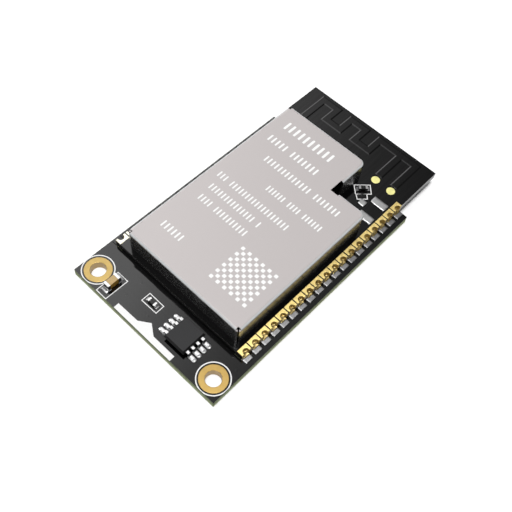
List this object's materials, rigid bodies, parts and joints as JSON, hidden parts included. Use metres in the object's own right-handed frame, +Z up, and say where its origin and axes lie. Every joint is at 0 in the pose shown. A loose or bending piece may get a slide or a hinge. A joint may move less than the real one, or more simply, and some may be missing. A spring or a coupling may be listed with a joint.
{
  "type": "wireless module on carrier board",
  "caption": "Shielded radio module with a folded board antenna, soldered by half-hole edge contacts to a small carrier board with two plated mounting holes.",
  "frame": {"origin": "on the carrier board's underside, in the middle of the overall length and width", "axes": "+X to the right across the boards, +Y along the length from the mounting holes to the antenna, +Z up from the carrier to the shield can"},
  "size_m": [0.0198, 0.0364, 0.0044],
  "materials": {
    "carrier_mask": "satin black solder mask over glass-fibre board",
    "module_mask": "satin black solder mask over glass-fibre board",
    "gold_plating": "gold-plated copper, satin",
    "contact_gold": "bright gold plating",
    "solder_tin": "tinned, smooth and bright",
    "lead_tin": "tin-plated leads",
    "end_cap_tin": "tin-plated end caps",
    "chip_resin": "matt moulded resin",
    "capacitor_ceramic": "fired brown ceramic",
    "resistor_glaze": "black glaze over ceramic",
    "coil_ceramic": "grey ceramic",
    "crystal_ceramic": "fired ceramic package",
    "can_metal": "tin-plated sheet, fine grain",
    "track_mask": "copper track under black solder mask"
  },
  "bodies": {
    "root": {"carrier_board": "carrier_mask", "module_board": "module_mask", "hole_plating_left": "gold_plating", "hole_plating_right": "gold_plating", "edge_contacts_left": "contact_gold", "edge_contacts_right": "contact_gold", "antenna_foot_pads": "contact_gold", "carrier_lands_left": "solder_tin", "carrier_lands_right": "solder_tin", "ground_land": "solder_tin", "carrier_chip_lands": "solder_tin", "capacitor_lands": "solder_tin", "resistor_lands": "solder_tin", "tuning_part_lands": "solder_tin", "socket_ground_lands": "solder_tin", "socket_signal_land": "solder_tin", "carrier_chip_leads": "lead_tin", "store_chip_leads": "lead_tin", "work_chip_leads": "lead_tin", "radio_chip_contacts": "lead_tin", "capacitor_ends": "end_cap_tin", "resistor_ends": "end_cap_tin", "tuning_part_ends": "end_cap_tin", "bypass_ends": "end_cap_tin", "coil_ends": "end_cap_tin", "carrier_chip_body": "chip_resin", "radio_chip_body": "chip_resin", "store_chip_body": "chip_resin", "work_chip_body": "chip_resin", "capacitor_body": "capacitor_ceramic", "bypass_bodies": "capacitor_ceramic", "resistor_body": "resistor_glaze", "tuning_part_body": "resistor_glaze", "coil_bodies": "coil_ceramic", "crystal_base": "crystal_ceramic", "crystal_lid": "can_metal", "shield_can": "can_metal", "antenna_track": "track_mask"}
  },
  "joints": []
}
